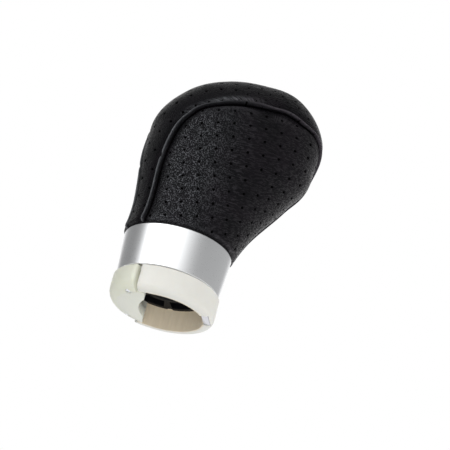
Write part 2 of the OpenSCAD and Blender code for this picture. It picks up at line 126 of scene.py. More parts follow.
# %% The head's surface
def head_section(u):
    """Middle, outermost point in the XZ plane, half width and exponent of the section at u. Up the
    back and down the front the edge is a reach from the axis; over the crown it is a radius that
    turns round the middle of the widest section."""
    s = np.where(u < 1, u, np.where(u > 2, 3 - u, 1.0))
    back = spline(s, [0, 0.25, 0.7, 1],
                  [neck_r, neck_r - neck_waist, grip_back + neck_waist / 2, grip_back],
                  (False, True))
    front = spline(s, [0, 0.3, 0.7, 1],
                   [neck_r, mix(neck_r, grip_front, 0.24), mix(neck_r, grip_front, 0.71),
                    grip_front], (False, True))
    half = spline(s, [0, 0.48, 1], [neck_r, mix(neck_r, grip_half, 0.58), grip_half],
                  (False, True))
    z = mix(neck_z, wide_z, s)
    start = (grip_back + grip_front) / 2
    turn = np.clip(180 * (2 - u), 0, 180)
    radius = spline(turn, [0, 30, 60, 90, 120, 150, 180], [start, *crown_radii, start],
                    (True, True))
    middle = (front - back) / 2
    on_crown = (u > 1) & (u < 2)
    edge_x = np.where(on_crown, middle + radius * np.cos(np.radians(turn)),
                      np.where(u <= 1, -back, front))
    edge_z = np.where(on_crown, z + radius * np.sin(np.radians(turn)), z)
    return middle, z, edge_x, edge_z, half, mix(2, squareness, smooth(s))


def head_surface(u, psi, inset):
    """The point at u and psi, inset millimetres under the skin: the section's middle plus its arm
    times the cosine, and its half width times the sine, both to the power 2 over the exponent."""
    middle, z, edge_x, edge_z, half, n = head_section(u)
    arm_x, arm_z = edge_x - middle, edge_z - z
    length = np.hypot(arm_x, arm_z)
    c, s = np.cos(np.radians(psi)), np.sin(np.radians(psi))
    share = (length - inset) / length * np.sign(c) * np.abs(c) ** (2 / n)
    side = (half - inset) * np.sign(s) * np.abs(s) ** (2 / n)
    return np.stack([middle + arm_x * share, side, z + arm_z * share], -1)


def seam_angle(u):
    """Angle of the seam from the middle plane: narrow on the neck, widest on the crown, and
    narrowest down the front. By hand it is sewn a little fuller up the back and most of all under
    the shoulder, which a step and a bell add."""
    places = [0, 0.6, 0.85, 1, 1.1, 1.25, 1.53, 1.74, 1.84, 2, 2.2, 2.5, 3]
    rise = [mix(seam_neck, seam_crown, s) for s in (0, 0, 0.09, 0.32, 0.68, 0.915, 1)]
    fall = [mix(seam_front, seam_crown, s) for s in (0.9, 0.61, 0.09, 0, 0, 0)]
    fuller = 0.9 * (1 - smooth((u - 0.8) / 0.3)) + 2.4 * bump_at(u, 0.74, 0.18)
    return spline(u, places, rise + fall) + fuller


top = head_surface(np.linspace(1, 2, 201), np.zeros(201), 0.0)
print("crown's top: %.1f mm, CAD's band: %.1f mm" % (top[:, 2].max(), band_top))


# %% [markdown]
# ## From a grid to a closed skin
# A leather panel is a sheet with a thickness. One grid gives its outer face, a second grid its
# inner face, and four strips close the edges. All of them are index arrays, so the whole skin is
# made without a loop over its points. Where rows meet in one point, doubles are merged.

# %% Mesh helpers
def grid_triangles(rows, cols, start=0, flip=False):
    """Two triangles for each cell of a grid whose points are numbered row by row from start."""
    r, c = np.meshgrid(np.arange(rows - 1), np.arange(cols - 1), indexing="ij")
    a = start + (r * cols + c).ravel()
    b, d, e = a + 1, a + cols, a + cols + 1
    tris = np.concatenate([np.stack([a, b, e], -1), np.stack([a, e, d], -1)])
    return tris[:, ::-1] if flip else tris


def rim_triangles(outer, inner):
    """A strip of triangles between two rows of point numbers of the same length."""
    a, b, c, d = outer[:-1], outer[1:], inner[1:], inner[:-1]
    return np.concatenate([np.stack([a, d, c], -1), np.stack([a, c, b], -1)])


def placed(name, data):
    """A new object with that data, linked to the scene."""
    obj = bpy.data.objects.new(name, data)
    bpy.context.scene.collection.objects.link(obj)
    return obj


def shade_smooth(mesh):
    """Shades every face of the mesh smooth."""
    mesh.polygons.foreach_set("use_smooth", np.full(len(mesh.polygons), True))


def new_object(name, points_mm, faces):
    """A smooth mesh object at the origin from points in millimetres."""
    mesh = bpy.data.meshes.new(name)
    mesh.from_pydata((points_mm.reshape(-1, 3) * MM).tolist(), [], faces.tolist())
    shade_smooth(mesh)
    return placed(name, mesh)


def closed_skin(name, outer, inner, maps, flip=False):
    """A leather skin between two grids of the same shape, with its doubles merged. maps holds a UV
    map for each name."""
    rows, cols = outer.shape[:2]
    count = rows * cols
    ids = np.arange(count).reshape(rows, cols)
    edge = np.concatenate([ids[0, :-1], ids[:-1, -1], ids[-1, :0:-1], ids[::-1, 0]])
    faces = np.concatenate([
        grid_triangles(rows, cols), grid_triangles(rows, cols, count, True),
        rim_triangles(edge, edge + count)])
    if flip:
        faces = faces[:, ::-1]
    obj = new_object(name, np.concatenate([outer.reshape(-1, 3), inner.reshape(-1, 3)]), faces)
    mesh = obj.data
    corner = np.empty(len(mesh.loops), np.int64)
    mesh.loops.foreach_get("vertex_index", corner)
    for title, grid in maps.items():
        uv = np.concatenate([grid.reshape(-1, 2)] * 2)[corner]
        layer = mesh.uv_layers.new(name=title)
        layer.uv.foreach_set("vector", uv.astype(np.float32).ravel())
    bm = bmesh.new()
    bm.from_mesh(mesh)
    bmesh.ops.remove_doubles(bm, verts=bm.verts, dist=1e-7)
    bmesh.ops.dissolve_degenerate(bm, edges=bm.edges, dist=1e-8)
    bm.to_mesh(mesh)
    bm.free()
    shade_smooth(mesh)
    return obj


# %% [markdown]
# ## Where the holes are punched
# Perforated leather is punched flat, in straight rows, and then stretched over the foam. So the
# rows bend with the surface. On a side panel, a point gets the flat coordinates that it would have
# if the leather was unrolled from the middle of the panel: the direction as seen from the side, at
# the distance along the surface. On the centre band, the flat coordinates are the lengths along and
# across the band, and the holes are staggered, because the strip was cut slantwise from the hide.
# The flat coordinates are kept as a UV map in which each hole sits on a whole number.

# %% The perforation lattice
hole_r = 0.46
side_middle = (12.0, 50.0)


def side_lattice(points):
    """Hole numbers on a side panel. The distance r seen from the side becomes the root of r squared
    plus four thirds of the drop squared, which is the arc of a shallow bowl; then rows and columns
    follow from the lattice's pitch and lean, with a slight stretch towards the panel's edges."""
    dx, dz = points[..., 0] - side_middle[0], points[..., 2] - side_middle[1]
    drop = grip_half - np.abs(points[..., 1])
    r = np.hypot(dx, dz) + 1e-6
    arc = np.sqrt(r * r + 4 / 3 * drop * drop) / r
    a, b = dx * arc, dz * arc
    column = 5.025 + 0.152 * a + 0.038 * b - 0.00083 * a * a - 0.00039 * b * b
    row = 3.785 + 0.057 * a - 0.200 * b - 0.00022 * a * b
    return np.stack([column, row], -1)


def band_lattice(points, middle_col):
    """Hole numbers on the band. The length along it is summed down the middle column and the length
    across it from the middle column outwards. Both numbers grow along the band, and across it one
    grows and the other falls. The strip is stretched over the shoulder, which the square terms
    give; beyond the shoulder and on the far side the rows run on evenly."""
    step = np.linalg.norm(np.diff(points[:, middle_col], axis=0), axis=-1)
    along = np.concatenate([[0], np.cumsum(step)])[:, None]
    width = np.linalg.norm(np.diff(points, axis=1), axis=-1)
    across = np.concatenate([np.zeros((len(points), 1)), np.cumsum(width, axis=1)], axis=1)
    across = across - across[:, middle_col:middle_col + 1]
    a, b = np.minimum(along, 65), np.minimum(across, 3)
    first = (-1.94 + 0.167 * a + 0.004 * b - 0.0005 * a * a + 0.00084 * b * b + 0.00246 * a * b
             + 0.125 * (along - a) + 0.115 * (across - b))
    second = (-1.54 + 0.158 * a - 0.145 * b - 0.00016 * a * a + 0.0021 * b * b + 0.0011 * a * b
              + 0.143 * (along - a) - 0.125 * (across - b))
    return np.stack([first, second], -1)


def hole_depth(lattice, pitch_mm):
    """How deep the leather dips round each hole, from 0 to 1, by the distance to the nearest whole
    number of the lattice."""
    off = (lattice - np.round(lattice)) * np.array(pitch_mm)
    return 1 - smooth((np.linalg.norm(off, axis=-1) - 0.5 * hole_r) / (0.8 * hole_r))


# %% [markdown]
# ## Small forms along the seam
# The two side panels are sewn to the band face to face, and the seam is then turned inside. That
# leaves a round welt on the band's edge, as thick as a cord, and a narrow trough beside it on the
# panel. Behind the welt the band has a shallow valley. On the shoulder the turned leather doubles,
# so a second, lower ridge runs beside the first. At its lower edge, the leather rolls in over the
# clamp ring, and swells a little above it. Each form is a sum of bells and arcs over away, the
# distance from the seam in millimetres.

# %% Offsets from the plain head, in millimetres (positive is inwards)
mean_reach = 24.13    # mean of the neck's radius, the half width and the half length
degree_mm = np.radians(1) * mean_reach
seam_gap = 0.05
welt_r = 0.75
side_pitch, band_pitch = (5.4, 4.9), (5.4, 5.4)
hole_dip = 0.3


def edge_roll(u):
    """The lower edge turns in by 0.7 mm over its last millimetre, below a slight swell."""
    height = np.minimum(u, 3 - u) * (wide_z - neck_z)
    return 0.7 * (1 - smooth(height / 1.0)) ** 2 - 0.15 * bump_at(height, 1.6, 1.0)


def welt_radius(u):
    """Radius of the welt's section, which falls by 0.3 mm over the middle of the crown."""
    return welt_r - 0.3 * smooth((u - 1.3) / 0.25)


def band_offset(u, away, proud):
    """The band's edge. The welt is a half circle in section: its height is the root of its radius
    squared less the squared distance from its middle, scaled to stand proud millimetres. It is
    slimmer over the front of the crown, and a nick crosses it at u = 0.6."""
    r = welt_radius(u)
    inside = np.clip(1 - ((away - r) / r) ** 2, 0, 1)
    welt = np.where(away < r, np.sqrt(inside), inside ** 1.5) * r / welt_r
    nick = 1 - 0.9 * bump_at(u, 0.6, 0.018)
    second = 0.35 * bump_at(away, 2.2, 0.5) * bump_at(u, 0.93, 0.1)
    valley = 0.28 * bump_at(away, 1.5, 0.55) + 0.12 * bump_at(away, 3.0, 1.2)
    drop = 0.35 * bump_at(away, 0, 0.15)
    return drop - proud * nick * welt - second + valley


def side_offset(u, away):
    """The panel's edge: a narrow trough that is deepest at the seam, and a wider soft one."""
    return 0.7 * np.exp(-(away / 0.95) ** 2) + 0.45 * np.exp(-(away / 2.8) ** 2)


def pucker_map(away, points, strength):
    """UV map for the puckers: how strong they are, and the length along the skin in millimetres,
    summed over the distances from each row to the next at the seam."""
    step = np.linalg.norm(np.diff(points[:, 0], axis=0), axis=-1)
    along = np.concatenate([[0], np.cumsum(step)])[:, None]
    return np.stack([strength, along + 0 * away], -1)


def painted_light_map(painted_sheen, painted_shade):
    """UV map of painted light. Its first number is a painted highlight: extra sheen laid on where
    the leather should catch the light. Its second is painted shade, which dulls the sheen in
    troughs."""
    return np.stack([painted_sheen, painted_shade], -1)


# %% [markdown]
# ## The leather skins
# Rows run along u. They are close on the crown, where the skin bends most. Columns run away from
# the seam: the first ones follow the welt or the trough at a tenth of a millimetre, and the others
# share what is left. Each skin also carries three UV maps: where the holes sit, where the leather
# puckers by the seam, and where painted highlights and painted shade change its sheen.

# %% Make the three skins
def path_rows(neck_rows, crown_rows):
    """Places along u, even on each stretch, with a finer first stretch for the rolled edge."""
    neck = np.unique(np.concatenate([np.linspace(0, 0.05, 9), np.linspace(0.05, 1, neck_rows)]))
    over = np.linspace(1, 2, crown_rows + 1)[1:-1]
    return np.concatenate([neck, over, 3 - neck[::-1]])


def seam_columns(u, end_psi, start_mm, count):
    """Angles from the seam to end_psi: 18 columns 0.1 mm apart and then count spread ones."""
    sign = np.sign(end_psi - seam_angle(u))
    near = start_mm + np.linspace(0, 1.7, 18)[None, :]
    first = seam_angle(u) + sign * near / degree_mm
    t = (np.arange(1, count + 1) / count)[None, :] ** 1.15
    return np.concatenate([first, mix(first[:, -1:], end_psi, t)], axis=1)


def side_skin(name, side):
    """A side panel from its seam to the head's widest line; side is 1 for +Y and -1 for -Y. Painted
    shade lies by the seam, in a wide strip on the back and the nose and a narrow one on the crown,
    and more of it under the front of the crown. A painted highlight runs a little off the seam on
    the crown and along the rolled lower edge."""
    u = path_rows(92, 210)[:, None]
    psi = seam_columns(u, 90.0, seam_gap, 84)
    away = (psi - seam_angle(u)) * degree_mm
    plain = head_surface(u + 0 * psi, psi, 0 * psi)
    lattice = side_lattice(plain)
    dip = hole_dip * hole_depth(lattice, side_pitch) * smooth((away - 2.2) / 0.6)
    outer = head_surface(u + 0 * psi, psi, edge_roll(u) + side_offset(u, away) + dip)
    inner = head_surface(u + 0 * psi, psi, leather_t + 0 * psi)
    outer[..., 1] *= side
    inner[..., 1] *= side
    folds = pucker_map(away, plain, 0.6 * bump_at(away, 2.6, 1.6) * bump_at(u, 1.64, 0.12))
    on_crown = bump_at(u, 1.16, 0.14)
    height = np.minimum(u, 3 - u) * (wide_z - neck_z)
    # Painted light: the first number is a painted highlight, the second is painted shade by the
    # seam.
    wear = painted_light_map(0.25 * bump_at(away, 2.2, 1.3) * on_crown + 0.08 * bump_at(height, 0.8, 0.4),
                      (1 - smooth((away - 0.5) / mix(4.0, 0.9, on_crown)))
                      + 0.5 * bump_at(u, 1.66, 0.13) * bump_at(away, 2.0, 5.0))
    return closed_skin(name, outer, inner,
                       {"perforation": lattice, "puckers": folds, "wear": wear}, flip=side < 0)


def band_skin(name):
    """The centre band from seam to seam, with a lower welt on the +Y side. The welt carries a
    painted highlight, the crown puckers beside it, and painted shade lies in the valley behind it
    and in the nick."""
    u = path_rows(88, 176)[:, None]
    half = seam_columns(u, 0.0, 0.0, 40)
    psi = np.concatenate([-half, half[:, -2::-1]], axis=1)
    away = (seam_angle(u) - np.abs(psi)) * degree_mm
    plain = head_surface(u + 0 * psi, psi, 0 * psi)
    lattice = band_lattice(plain, half.shape[1] - 1)
    dip = hole_dip * hole_depth(lattice, band_pitch) * smooth((away - 2.6) / 0.6)
    proud = np.where(psi > 0, welt_r * 0.4, welt_r)
    outer = head_surface(u + 0 * psi, psi, edge_roll(u) + band_offset(u, away, proud) + dip)
    inner = head_surface(u + 0 * psi, psi, leather_t + 0 * psi)
    pinched = bump_at(away, 2.7, 1.2) * bump_at(u, 1.2, 0.17)
    folds = pucker_map(away, plain, pinched)
    on_back = 1 - smooth((u - 0.85) / 0.2)
    slim = welt_radius(u)
    # Painted highlight along the welt, weaker over the front and where the crown puckers.
    welt_highlight = bump_at(away, slim, 0.65 * slim) * (mix(0.7, 1.0, on_back)
                                                - 0.4 * bump_at(u, 1.2, 0.17))
    # Painted shade in the valley behind the welt and in the nick, less where the crown puckers.
    wear = painted_light_map(welt_highlight + 0 * away,
                      0.75 * bump_at(away, 2.9, mix(0.7, 1.3, on_back)) * (1 - 0.9 * pinched)
                      + bump_at(u, 0.6, 0.014) * bump_at(away, 0.7, 0.8))
    return closed_skin(name, outer, inner,
                       {"perforation": lattice, "puckers": folds, "wear": wear})


left_skin = side_skin("leather_left", 1)
right_skin = side_skin("leather_right", -1)
band = band_skin("leather_band")
for skin in (left_skin, right_skin, band):
    print(skin.name, len(skin.data.polygons), "triangles")


# %% [markdown]
# ## The collar
# The collar is a turned ring that widens upwards. A profile carried round the axis gives it, with
# enough steps for a clean edge. Its two edges have small rounded bevels that catch the light as a
# fine bright line.

# %% Make the collar
def arc_points(centre, radius, start, end, count):
    """Points on an arc in the profile's plane, from one angle to another, in degrees."""
    a = np.radians(np.linspace(start, end, count))
    return np.stack([centre[0] + radius * np.cos(a), centre[1] + radius * np.sin(a)], -1)


def turned(name, profile, steps=288):
    """A closed profile of (radius, height) points carried round Z."""
    profile = np.asarray(profile, float)
    a = np.linspace(0, 2 * np.pi, steps, endpoint=False)[:, None]
    ring = np.stack([profile[:, 0] * np.cos(a), profile[:, 0] * np.sin(a),
                     profile[:, 1] + 0 * a], -1)
    count = len(profile)
    i, j = np.meshgrid(np.arange(steps), np.arange(count), indexing="ij")
    i2, j2 = (i + 1) % steps, (j + 1) % count
    quads = np.stack([i * count + j, i2 * count + j, i2 * count + j2, i * count + j2], -1)
    return new_object(name, ring, quads.reshape(-1, 4))


low_r, high_r = 17.5, collar_high[0]
low_z, high_z = collar_low[2], collar_high[2]
wall, bevel, lip = 1.0, 0.4, 0.9
lean = np.degrees(np.arctan2(high_r - low_r, high_z - low_z))
collar_profile = np.concatenate([
    [[low_r - wall, low_z]],
    arc_points((low_r - bevel, low_z + bevel), bevel, -90, -lean, 7),
    arc_points((high_r - bevel, high_z - bevel), bevel, -lean, 90, 9),
    [[high_r - 1.8, high_z], [high_r - 1.8, high_z - lip], [high_r - wall, high_z - lip]]])
collar = turned("collar_ring", collar_profile)
print("collar", len(collar.data.polygons), "faces")


# %% [markdown]
# ## The moulded pieces
# The lock ring and its key are drawn exactly in the CAD model, down to the pockets. What a drawing
# leaves out is the fine radius that every moulded edge has. A merged copy of the mesh takes a small
# bevel on its sharp edges only, and keeps the form.

# %% Soften copies of the CAD nodes
flat_angle, sharp_angle = np.radians(1.0), np.radians(30)


def softened(node, name, width_mm):
    """A merged copy of a CAD node with its sharp edges rounded by a bevel of width_mm."""
    mesh = nodes[node].data.copy()
    mesh.name = name
    mesh.materials.clear()
    bm = bmesh.new()
    bm.from_mesh(mesh)
    bmesh.ops.remove_doubles(bm, verts=bm.verts, dist=2e-6)
    bmesh.ops.dissolve_limit(bm, angle_limit=flat_angle, verts=bm.verts, edges=bm.edges,
                             delimit={"SEAM"})
    bm.to_mesh(mesh)
    bm.free()
    shade_smooth(mesh)
    obj = placed(name, mesh)
    round_edges = obj.modifiers.new("edges", "BEVEL")
    round_edges.limit_method = "ANGLE"
    round_edges.angle_limit = sharp_angle
    round_edges.width = width_mm * MM
    round_edges.segments = 2
    round_edges.harden_normals = True
    return obj


lock_ring = softened("lock_ring", "lock_ring_moulded", 0.22)
lock_key = softened("lock_key", "lock_key_moulded", 0.22)
dowels = softened("key_dowels", "key_dowels_turned", 0.12)
spring = softened("detent_spring", "detent_spring_strip", 0.08)
print("moulded pieces made")


# %% [markdown]
# ## Materials
# Each finish is a short node tree on Object coordinates, or on the skin's own UV maps. A helper
# keeps the trees readable: each call makes one node, sets its inputs and returns its result.

# %% Node helpers
class Finish:
    """A material with a Principled shader and short calls to build its node tree."""

    def __init__(self, name, colour, roughness, metallic=0.0):
        self.material = bpy.data.materials.new(name)
        self.material.use_nodes = True
        self.tree = self.material.node_tree
        self.shader = self.tree.nodes["Principled BSDF"]
        self.set("Base Color", (*colour, 1))
        self.set("Roughness", roughness)
        self.set("Metallic", metallic)

    def set(self, socket, value):
        self.shader.inputs[socket].default_value = value

    def node(self, kind):
        return self.tree.nodes.new(kind)

    def link(self, source, target):
        self.tree.links.new(source, target)

    def coordinates(self):
        return self.node("ShaderNodeTexCoord").outputs["Object"]

    def uv(self, name):
        made = self.node("ShaderNodeUVMap")
        made.uv_map = name
        return made.outputs["UV"]

    def parts(self, vector):
        """The X, Y and Z of a vector."""
        made = self.node("ShaderNodeSeparateXYZ")
        self.link(vector, made.inputs[0])
        return made.outputs

    def vector(self, operation, a, b=None, result="Vector"):
        """The result of a vector operation on the socket a and the numbers b."""
        made = self.node("ShaderNodeVectorMath")
        made.operation = operation
        self.link(a, made.inputs[0])
        if b is not None:
            made.inputs[1].default_value = b
        return made.outputs[result]

    def noise(self, scale, detail=3.0, rough=0.5, vector=None):
        made = self.node("ShaderNodeTexNoise")
        made.inputs["Scale"].default_value = scale
        made.inputs["Detail"].default_value = detail
        made.inputs["Roughness"].default_value = rough
        self.link(vector or self.coordinates(), made.inputs["Vector"])
        return made.outputs["Fac"]

    def math(self, operation, a, b=None, c=None):
        made = self.node("ShaderNodeMath")
        made.operation = operation
        for i, value in enumerate((a, b, c)):
            if value is None:
                continue
            if isinstance(value, (int, float)):
                made.inputs[i].default_value = value
            else:
                self.link(value, made.inputs[i])
        return made.outputs[0]

    def remap(self, value, low, high, to_low=0.0, to_high=1.0, eased=False):
        made = self.node("ShaderNodeMapRange")
        made.interpolation_type = "SMOOTHSTEP" if eased else "LINEAR"
        made.inputs["From Min"].default_value = low
        made.inputs["From Max"].default_value = high
        made.inputs["To Min"].default_value = to_low
        made.inputs["To Max"].default_value = to_high
        self.link(value, made.inputs["Value"])
        return made.outputs["Result"]

    def blend(self, share, first, second):
        made = self.node("ShaderNodeMix")
        made.data_type = "RGBA"
        self.link(share, made.inputs["Factor"])
        for socket, colour in ((made.inputs[6], first), (made.inputs[7], second)):
            if isinstance(colour, tuple):
                socket.default_value = (*colour, 1)
            else:
                self.link(colour, socket)
        return made.outputs[2]

    def bump(self, height, distance_mm):
        """Adds a relief of that height, on top of the ones before it."""
        made = self.node("ShaderNodeBump")
        made.inputs["Distance"].default_value = distance_mm * MM
        self.link(height, made.inputs["Height"])
        before = self.shader.inputs["Normal"]
        if before.is_linked:
            self.link(before.links[0].from_socket, made.inputs["Normal"])
        self.link(made.outputs["Normal"], before)

    def put_on(self, *objects):
        for obj in objects:
            obj.data.materials.clear()
            obj.data.materials.append(self.material)


def per_mm(cell_mm):
    """Scale of a texture whose cells are cell_mm wide."""
    return 1.0 / (cell_mm * MM)


# %% [markdown]
# ## Leather
# Fine nappa leather is nearly black, and its wax lies on the tips of the grain, so tips are glossy
# and valleys are dull. At the back of the head the grain is round, like pebbles. Towards the nose
# the hide was stretched, and the pebbles run together into long low wrinkles. A painted highlight
# adds sheen on the welt, on the tips of the puckers and along the nose's edge, and painted shade
# takes the sheen out of the troughs, from the UV map of painted light. Inside a hole's radius the
# leather is painted nearly black as shade, and is dull and sunken.

# %% Leather material
def hole_mask(m, pitch_mm):
    """1 inside a hole and 0 outside. The perforation map has a hole on each whole number: half is
    added, the whole part dropped and half taken off again, which leaves the way to the nearest
    hole; in millimetres its length is the distance that is compared with the hole's radius."""
    cell = m.vector("FRACTION", m.vector("ADD", m.uv("perforation"), (0.5, 0.5, 0)))
    in_mm = m.vector("MULTIPLY", m.vector("SUBTRACT", cell, (0.5, 0.5, 0)), (*pitch_mm, 0))
    distance = m.vector("LENGTH", in_mm, result="Value")
    return m.remap(distance, hole_r * 0.8, hole_r * 1.15, 1, 0)


def pucker_waves(m):
    """Fine folds across the seam: noise along the skin, times the strength in the pucker map."""
    strength, length, _ = m.parts(m.uv("puckers"))
    along = m.node("ShaderNodeCombineXYZ")
    m.link(length, along.inputs[0])
    m.link(m.math("MULTIPLY", strength, 0.6), along.inputs[1])
    waves = m.remap(m.noise(1 / 0.75, 1, 0.4, along.outputs[0]), 0.3, 0.7)
    return m.math("MULTIPLY", waves, strength)


def leather(name, pitch_mm, wax, plain_wax):
    """Black perforated leather. pitch_mm is the size of one UV cell on this skin, wax the sheen
    that the tips of the grain add, and plain_wax the sheen between them."""
    m = Finish(name, (0.004, 0.004, 0.0045), 0.34)
    nose = m.parts(m.coordinates())["X"]
    forward = m.remap(nose, -8 * MM, 8 * MM)
    pebbles = m.remap(m.noise(per_mm(0.42), 1.0, 0.5), 0.38, 0.62)
    drawn = m.node("ShaderNodeMapping")
    drawn.vector_type = "TEXTURE"
    drawn.inputs["Rotation"].default_value = (0, math.radians(-12), 0)
    drawn.inputs["Scale"].default_value = (3.2, 1.5, 0.75)
    m.link(m.coordinates(), drawn.inputs["Vector"])
    wrinkles = m.remap(m.noise(per_mm(0.6), 2, 0.5, drawn.outputs[0]), 0.4, 0.64)
    grain = m.math("MULTIPLY_ADD", m.math("SUBTRACT", wrinkles, pebbles), forward, pebbles)
    patches = m.remap(m.noise(per_mm(3.0), 2), 0.3, 0.55, 0.5, 1.0)
    tips = m.math("MULTIPLY", m.remap(grain, 0.4, 0.85), patches)
    puckers = pucker_waves(m)
    painted_sheen, painted_shade, _ = m.parts(m.uv("wear"))
    hole = m.math("MULTIPLY", hole_mask(m, pitch_mm), m.remap(painted_sheen, 0.1, 0.4, 1, 0))

    worn = m.remap(m.noise(per_mm(9), 3), 0.4, 0.7)
    tone = m.blend(worn, (0.0035, 0.0036, 0.0042), (0.006, 0.005, 0.0065))
    # Painted shade: inside each hole the base colour is nearly black.
    m.link(m.blend(hole, tone, (0.001, 0.001, 0.001)), m.shader.inputs["Base Color"])
    m.link(m.blend(forward, (0.95, 0.99, 1.06), (1.02, 0.92, 1.06)),
           m.shader.inputs["Specular Tint"])
    wax_and_edge_sheen = m.math("MULTIPLY_ADD", tips, m.remap(forward, 0, 1, wax, 0.2 * wax), plain_wax)
    # Painted highlight: the sheen rises towards the nose's edge, from 28 to 42 mm forward.
    wax_and_edge_sheen = m.math("ADD", wax_and_edge_sheen, m.remap(nose, 28 * MM, 42 * MM, 0, 0.2))
    # Painted highlight: the first number of the painted-light map adds sheen, and the tips of the
    # puckers get painted sheen besides their bump.
    sheen = m.math("MULTIPLY_ADD", painted_sheen, 1.5, m.math("MULTIPLY_ADD", puckers, 2.0, wax_and_edge_sheen))
    # Painted shade: the sheen is taken away inside the holes and in the troughs that the second
    # number of the painted-light map marks.
    shade = m.math("MINIMUM", m.math("MULTIPLY", painted_shade, 0.85), 0.9)
    unshaded = m.math("SUBTRACT", 1.0, m.math("MAXIMUM", hole, shade))
    m.link(m.math("MULTIPLY", sheen, unshaded), m.shader.inputs["Specular IOR Level"])
    rough = m.remap(tips, 0, 1, 0.42, 0.28)
    m.link(m.math("MULTIPLY_ADD", hole, 0.4, rough), m.shader.inputs["Roughness"])
    for height, depth_mm in ((m.noise(per_mm(3.2), 3, 0.5), 0.25), (grain, 0.2), (puckers, 0.6),
                             (m.noise(per_mm(0.2), 2), 0.02),
                             (m.math("SUBTRACT", 1.0, hole), 0.25)):
        m.bump(height, depth_mm)
    return m


side_leather = leather("side_leather", side_pitch, 0.62, 0.07)
band_leather = leather("band_leather", band_pitch, 0.07, 0.05)
side_leather.put_on(left_skin, right_skin)
band_leather.put_on(band)
print("leather nodes:", len(side_leather.tree.nodes))


# %% [markdown]
# ## Metals
# The collar is satin: fine enough that the studio lights blur into soft bands. A very fine noise,
# drawn out round the axis, gives it the faint life of a brushed part. The steel strip is duller,
# and the dowels' ends are ground bright.

# %% Metal materials
def satin_metal(name, colour, roughness, grain_mm=0.12, depth_mm=0.0):
    """Metal with a fine grain that is much longer round the axis than along it."""
    m = Finish(name, colour, roughness, metallic=1.0)
    place = m.node("ShaderNodeMapping")
    place.inputs["Scale"].default_value = (0.12, 0.12, 1.0)
    m.link(m.coordinates(), place.inputs["Vector"])
    grain = m.noise(per_mm(grain_mm), 3, 0.6, place.outputs[0])
    m.link(m.remap(grain, 0.3, 0.7, roughness - 0.03, roughness + 0.04),
           m.shader.inputs["Roughness"])
    cloud = m.noise(per_mm(6), 2)
    dark = tuple(c * 0.95 for c in colour)
    m.link(m.blend(cloud, dark, colour), m.shader.inputs["Base Color"])
    if depth_mm:
        m.bump(grain, depth_mm)
    return m


satin = satin_metal("satin_silver", (0.76, 0.77, 0.78), 0.3)
steel = satin_metal("spring_steel", (0.55, 0.55, 0.58), 0.32, 0.08)
iron = satin_metal("cast_weight", (0.30, 0.30, 0.31), 0.55, 0.5, 0.02)
satin.put_on(collar)
bright_steel = satin_metal("dowel_steel", (0.68, 0.69, 0.73), 0.25, 0.08)
bright_steel.put_on(dowels)
steel.put_on(spring, nodes["lever_snap_ring"], nodes["liner_screws"],
             nodes["friction_washer"])
iron.put_on(nodes["balance_weight"])


# %% [markdown]
# ## Plastics, rubber and foam
# White nylon lets a little light in, so its edges and thin walls look soft and warm. The ring is
# nearly neutral and the key slightly green, as two batches of the same plastic often are. Inside
# the ring the wall is painted darker and yellower, as painted shade for the light that reaches it
# only by bouncing round the ring. The black nylon of the socket is dull, with the fine texture of a
# spark-worn mould.

# %% Plastic, rubber and foam materials
def nylon(name, colour, shade, inner, roughness=0.42, depth=0.12):
    """Natural nylon: a little light goes in, and slow clouds change its tone. Inside the ring the
    wall is painted in the colour inner, darker and warmer, as painted shade."""
    m = Finish(name, colour, roughness)
    m.set("Subsurface Weight", depth)
    m.set("Subsurface Radius", (1.0, 0.8, 0.5))
    m.set("Subsurface Scale", 1.2 * MM)
    m.set("Specular IOR Level", 0.4)
    cloud = m.remap(m.noise(per_mm(7), 3), 0.35, 0.65)
    flat = m.vector("MULTIPLY", m.coordinates(), (1, 1, 0))
    radius = m.vector("LENGTH", flat, result="Value")
    # Painted shade: within 14.7 mm of the axis the inner wall takes the darker, warmer colour,
    # fading out by 15.4 mm.
    inside = m.remap(radius, 14.7 * MM, 15.4 * MM, 1, 0)
    m.link(m.blend(inside, m.blend(cloud, colour, shade), inner), m.shader.inputs["Base Color"])
    sparks = m.noise(per_mm(0.25), 2)
    m.link(m.remap(sparks, 0.3, 0.7, roughness - 0.05, roughness + 0.06),
           m.shader.inputs["Roughness"])
    m.bump(sparks, 0.008)
    return m


def dull(name, colour, roughness, grain_mm, depth_mm, sheen=0.3):
    """Matt moulded plastic, rubber or foam with an even grain."""
    m = Finish(name, colour, roughness)
    m.set("Specular IOR Level", sheen)
    grain = m.noise(per_mm(grain_mm), 3, 0.6)
    lighter = tuple(c * 1.35 for c in colour)
    m.link(m.blend(m.remap(grain, 0.3, 0.7), colour, lighter), m.shader.inputs["Base Color"])
    m.link(m.remap(grain, 0.3, 0.7, roughness - 0.06, roughness + 0.06),
           m.shader.inputs["Roughness"])
    m.bump(grain, depth_mm)
    return m


# The last colour of each nylon is the painted shade on the ring's inner wall.
white_nylon = nylon("white_nylon", (0.79, 0.785, 0.735), (0.76, 0.75, 0.70), (0.73, 0.635, 0.48))
key_nylon = nylon("key_nylon", (0.76, 0.775, 0.665), (0.73, 0.74, 0.62), (0.75, 0.76, 0.68))
black_nylon = dull("black_nylon", (0.004, 0.004, 0.005), 0.5, 0.3, 0.015, 0.12)
rubber = dull("damper_rubber", (0.03, 0.03, 0.03), 0.75, 0.4, 0.02)
foam = dull("moulded_foam", (0.17, 0.17, 0.15), 0.9, 0.8, 0.12)
white_nylon.put_on(lock_ring)
key_nylon.put_on(lock_key)
black_nylon.put_on(nodes["lever_socket"], nodes["socket_cap"], nodes["leather_clamp_ring"],
                   nodes["collar_liner"])
rubber.put_on(nodes["lever_damper"])
foam.put_on(nodes["foam_body"])

